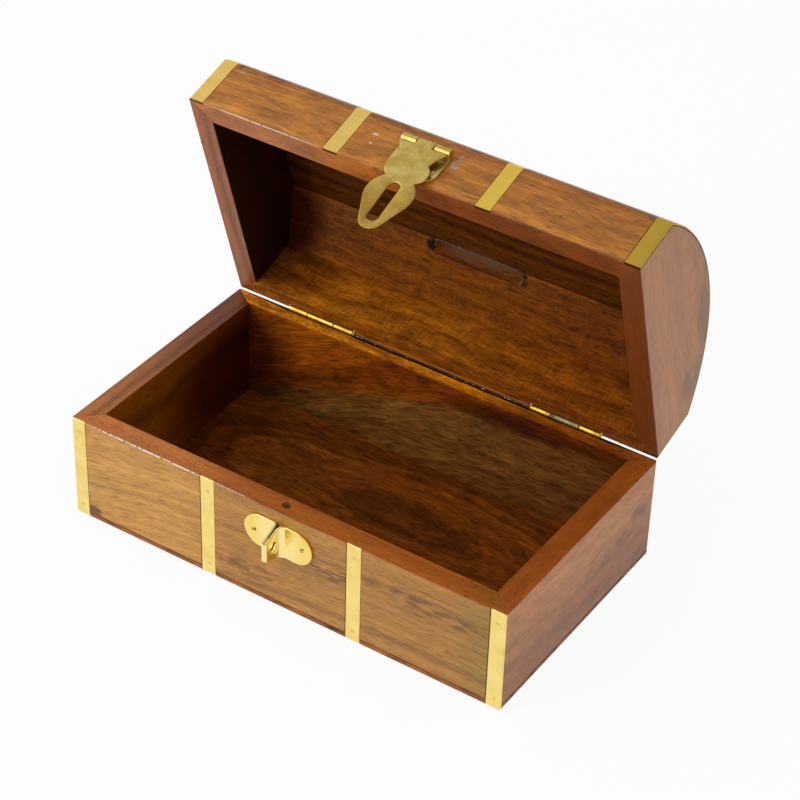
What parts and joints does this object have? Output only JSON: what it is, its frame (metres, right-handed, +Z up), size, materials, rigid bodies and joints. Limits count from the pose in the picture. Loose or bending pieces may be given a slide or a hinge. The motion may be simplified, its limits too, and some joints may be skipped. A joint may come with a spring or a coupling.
{
  "type": "donation box",
  "caption": "Small dome-lidded wooden chest with brass bands, a coin slot in the lid, butt hinges at the back, and a swinging hasp that drops over a staple for a padlock.",
  "frame": {"origin": "centre of the underside of the base, on the surface the box stands on", "axes": "+X to the box's right along its length, +Y towards the hinged back, the staple faces -Y, +Z up"},
  "size_m": [0.2, 0.1531, 0.1632],
  "materials": {
    "sheesham": "satin wax polish",
    "brass_strip": "polished, lacquered",
    "brass_fittings": "polished"
  },
  "bodies": {
    "base": {"base_back_wall": "sheesham", "base_front_wall": "sheesham", "base_left_wall": "sheesham", "base_right_wall": "sheesham", "base_floor": "sheesham", "base_band_left_end": "brass_strip", "base_band_left": "brass_strip", "base_band_right": "brass_strip", "base_band_right_end": "brass_strip", "base_band_pins": "brass_strip", "staple": "brass_fittings", "staple_nails": "brass_fittings", "hinge_pin_left": "brass_fittings", "hinge_pin_right": "brass_fittings", "hinge_base_leaf_left": "brass_fittings", "hinge_base_leaf_right": "brass_fittings", "hinge_base_nails_left": "brass_fittings", "hinge_base_nails_right": "brass_fittings"},
    "lid": {"lid_front_wall": "sheesham", "lid_back_wall": "sheesham", "lid_left_end": "sheesham", "lid_right_end": "sheesham", "lid_front_slat": "sheesham", "lid_centre_slat": "sheesham", "lid_back_slat": "sheesham", "lid_band_left_end": "brass_strip", "lid_band_left": "brass_strip", "lid_band_right": "brass_strip", "lid_band_right_end": "brass_strip", "hinge_lid_leaf_left": "brass_fittings", "hinge_lid_leaf_right": "brass_fittings", "hinge_lid_nails_left": "brass_fittings", "hinge_lid_nails_right": "brass_fittings", "hasp_leaf": "brass_fittings", "hasp_nails": "brass_fittings", "hasp_pin": "brass_fittings"},
    "hasp": {"hasp_strap": "brass_fittings"}
  },
  "joints": [
    {"name": "lid_hinge", "type": "hinge", "parent": "base", "child": "lid", "pos_m": [0, 0.0556, 0.04825], "axis": [-1, 0, 0], "range_deg": [-73.2, 106.8]},
    {"name": "hasp_hinge", "type": "hinge", "parent": "lid", "child": "hasp", "pos_m": [0, 0.03889, 0.16119], "axis": [-1, 0, 0], "range_deg": [0, 165]}
  ]
}
